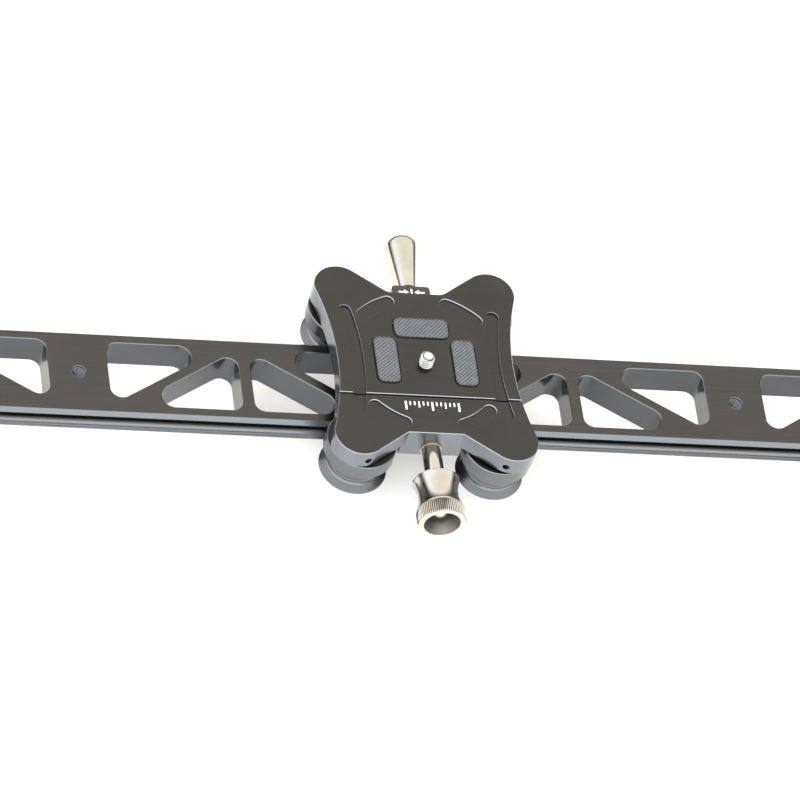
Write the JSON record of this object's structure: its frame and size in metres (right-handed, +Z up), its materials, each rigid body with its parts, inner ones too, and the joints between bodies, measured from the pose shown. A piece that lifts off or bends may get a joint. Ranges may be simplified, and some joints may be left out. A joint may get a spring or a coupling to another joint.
{
  "type": "camera slider",
  "caption": "Camera slider: flat truss-cut rail with round side ridges and a split carriage on grooved rollers, with a knurled jaw knob, a brake handle and a camera stud.",
  "frame": {"origin": "centre of the mouth of the tripod socket in the underside of the rail, midway along it", "axes": "+X along the rail to the right, +Y across the rail to the brake handle at the rear, +Z up to the camera stud"},
  "size_m": [0.656, 0.1578, 0.0642],
  "materials": {
    "rail_anodised": "black anodised, finely brushed along its length, satin sheen",
    "plate_anodised": "black anodised with a fine milled grain, satin sheen",
    "block_anodised": "black anodised, satin",
    "bracket_anodised": "black anodised, bead blasted",
    "wheel_anodised": "black anodised, fine turning marks",
    "pad_rubber": "dark grey rubber with a fine diagonal knurl",
    "black_rubber": "matte black rubber",
    "lining_rubber": "dull brown friction rubber",
    "stud_steel": "bright zinc plated thread",
    "ground_steel": "ground steel",
    "black_steel": "black oxide steel",
    "bearing_steel": "polished bearing steel",
    "brass_ring": "turned brass",
    "polished_nickel": "polished warm nickel plate"
  },
  "bodies": {
    "rail_frame": {"rail": "rail_anodised", "end_bracket_left": "bracket_anodised", "end_bracket_right": "bracket_anodised", "bracket_screws": "black_steel", "rubber_feet": "black_rubber", "end_buffers": "black_rubber"},
    "carriage": {"rear_plate": "plate_anodised", "guide_pins": "ground_steel", "pad_rear": "pad_rubber", "pad_left": "pad_rubber", "pad_right": "pad_rubber", "camera_stud": "stud_steel", "set_screws_rear": "black_steel", "brake_block": "block_anodised", "brake_block_screws": "black_steel", "inner_races_rear_left": "bearing_steel", "inner_races_rear_right": "bearing_steel", "spacers_rear_left": "bearing_steel", "spacers_rear_right": "bearing_steel", "axle_bolt_rear_left": "black_steel", "axle_bolt_rear_right": "black_steel"},
    "jaw": {"front_plate": "plate_anodised", "set_screws_front": "black_steel", "thrust_ring": "brass_ring", "inner_races_front_left": "bearing_steel", "inner_races_front_right": "bearing_steel", "spacers_front_left": "bearing_steel", "spacers_front_right": "bearing_steel", "axle_bolt_front_left": "black_steel", "axle_bolt_front_right": "black_steel"},
    "knob": {"knob_spindle": "polished_nickel", "knob_head": "polished_nickel", "knob_cap_nut": "polished_nickel"},
    "shoe": {"brake_shoe": "block_anodised", "brake_lining": "lining_rubber"},
    "handle": {"brake_screw": "ground_steel", "brake_handle": "polished_nickel"},
    "roller_rear_left": {"wheel_rear_left": "wheel_anodised", "outer_races_rear_left": "bearing_steel"},
    "roller_rear_right": {"wheel_rear_right": "wheel_anodised", "outer_races_rear_right": "bearing_steel"},
    "roller_front_left": {"wheel_front_left": "wheel_anodised", "outer_races_front_left": "bearing_steel"},
    "roller_front_right": {"wheel_front_right": "wheel_anodised", "outer_races_front_right": "bearing_steel"}
  },
  "joints": [
    {"name": "carriage_slide", "type": "slide", "parent": "rail_frame", "child": "carriage", "axis": [1, 0, 0], "range_m": [-0.262, 0.2575]},
    {"name": "jaw_slide", "type": "slide", "parent": "carriage", "child": "jaw", "axis": [0, -1, 0], "range_m": [0, 0.0015]},
    {"name": "knob_turn", "type": "hinge", "parent": "jaw", "child": "knob", "pos_m": [0.0023, -0.057, 0.0219], "axis": [0, -1, 0], "range_deg": [0, 540]},
    {"name": "brake_slide", "type": "slide", "parent": "carriage", "child": "shoe", "axis": [0, -1, 0], "range_m": [0, 0.0005]},
    {"name": "brake_turn", "type": "hinge", "parent": "shoe", "child": "handle", "pos_m": [0.0023, 0.06, 0.0219], "axis": [0, -1, 0], "range_deg": [0, 180]},
    {"name": "spin_rear_left", "type": "hinge", "parent": "carriage", "child": "roller_rear_left", "pos_m": [-0.0287, 0.0364, 0.015], "axis": [0, 0, 1], "continuous": true},
    {"name": "spin_rear_right", "type": "hinge", "parent": "carriage", "child": "roller_rear_right", "pos_m": [0.0333, 0.0364, 0.015], "axis": [0, 0, 1], "continuous": true},
    {"name": "spin_front_left", "type": "hinge", "parent": "jaw", "child": "roller_front_left", "pos_m": [-0.0287, -0.0364, 0.015], "axis": [0, 0, 1], "continuous": true},
    {"name": "spin_front_right", "type": "hinge", "parent": "jaw", "child": "roller_front_right", "pos_m": [0.0333, -0.0364, 0.015], "axis": [0, 0, 1], "continuous": true}
  ],
  "couplings": [
    {"joint": "knob_turn", "follows": "jaw_slide", "rad_per_m": 6283.2},
    {"joint": "brake_turn", "follows": "brake_slide", "rad_per_m": 6283.2},
    {"joint": "spin_rear_left", "follows": "carriage_slide", "rad_per_m": -90.909},
    {"joint": "spin_rear_right", "follows": "carriage_slide", "rad_per_m": -90.909},
    {"joint": "spin_front_left", "follows": "carriage_slide", "rad_per_m": 90.909},
    {"joint": "spin_front_right", "follows": "carriage_slide", "rad_per_m": 90.909}
  ]
}
